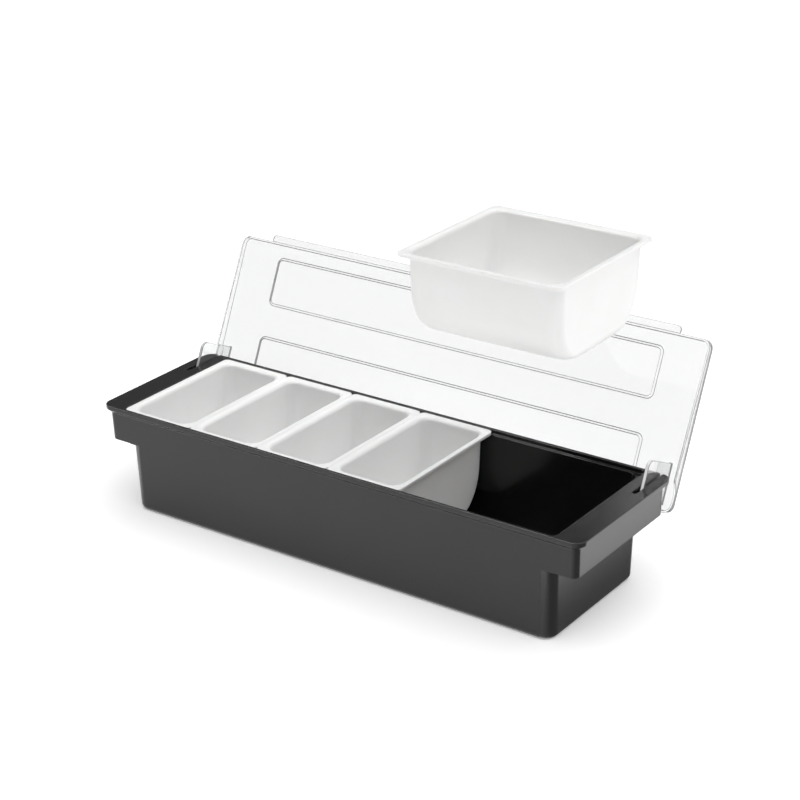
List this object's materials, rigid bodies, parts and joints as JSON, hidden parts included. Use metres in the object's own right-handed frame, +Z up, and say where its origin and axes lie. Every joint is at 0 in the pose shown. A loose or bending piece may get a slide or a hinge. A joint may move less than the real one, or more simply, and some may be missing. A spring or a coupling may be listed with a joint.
{
  "type": "condiment caddy",
  "caption": "Countertop condiment caddy: a long tray that holds drop-in inserts under a clear lid, which flips up and back on moulded hinge webs.",
  "frame": {"origin": "middle of the tray's base, on the surface that it stands on", "axes": "+X along the row towards the wide place, -Y the front, +Z up"},
  "size_m": [0.5, 0.2177, 0.3037],
  "materials": {
    "tray_plastic": "moulded satin, near black",
    "clear_plastic": "clear, polished",
    "white_plastic": "moulded white, semi-gloss"
  },
  "bodies": {
    "tray": {"tray": "tray_plastic"},
    "lid": {"lid": "clear_plastic"},
    "small_insert_1": {"small_insert_1": "white_plastic"},
    "small_insert_2": {"small_insert_2": "white_plastic"},
    "small_insert_3": {"small_insert_3": "white_plastic"},
    "small_insert_4": {"small_insert_4": "white_plastic"},
    "large_insert": {"large_insert": "white_plastic"}
  },
  "joints": [
    {"name": "lid_hinge", "type": "hinge", "parent": "tray", "child": "lid", "pos_m": [0, 0.061, 0.0845], "axis": [-1, 0, 0], "range_deg": [-116.6, 0]},
    {"name": "small_insert_1_lift", "type": "slide", "parent": "tray", "child": "small_insert_1", "axis": [0, 0, 1], "range_m": [0, 0.12]},
    {"name": "small_insert_2_lift", "type": "slide", "parent": "tray", "child": "small_insert_2", "axis": [0, 0, 1], "range_m": [0, 0.12]},
    {"name": "small_insert_3_lift", "type": "slide", "parent": "tray", "child": "small_insert_3", "axis": [0, 0, 1], "range_m": [0, 0.12]},
    {"name": "small_insert_4_lift", "type": "slide", "parent": "tray", "child": "small_insert_4", "axis": [0, 0, 1], "range_m": [0, 0.12]},
    {"name": "large_insert_lift", "type": "slide", "parent": "tray", "child": "large_insert", "axis": [0, 0, 1], "range_m": [-0.206, 0]}
  ]
}
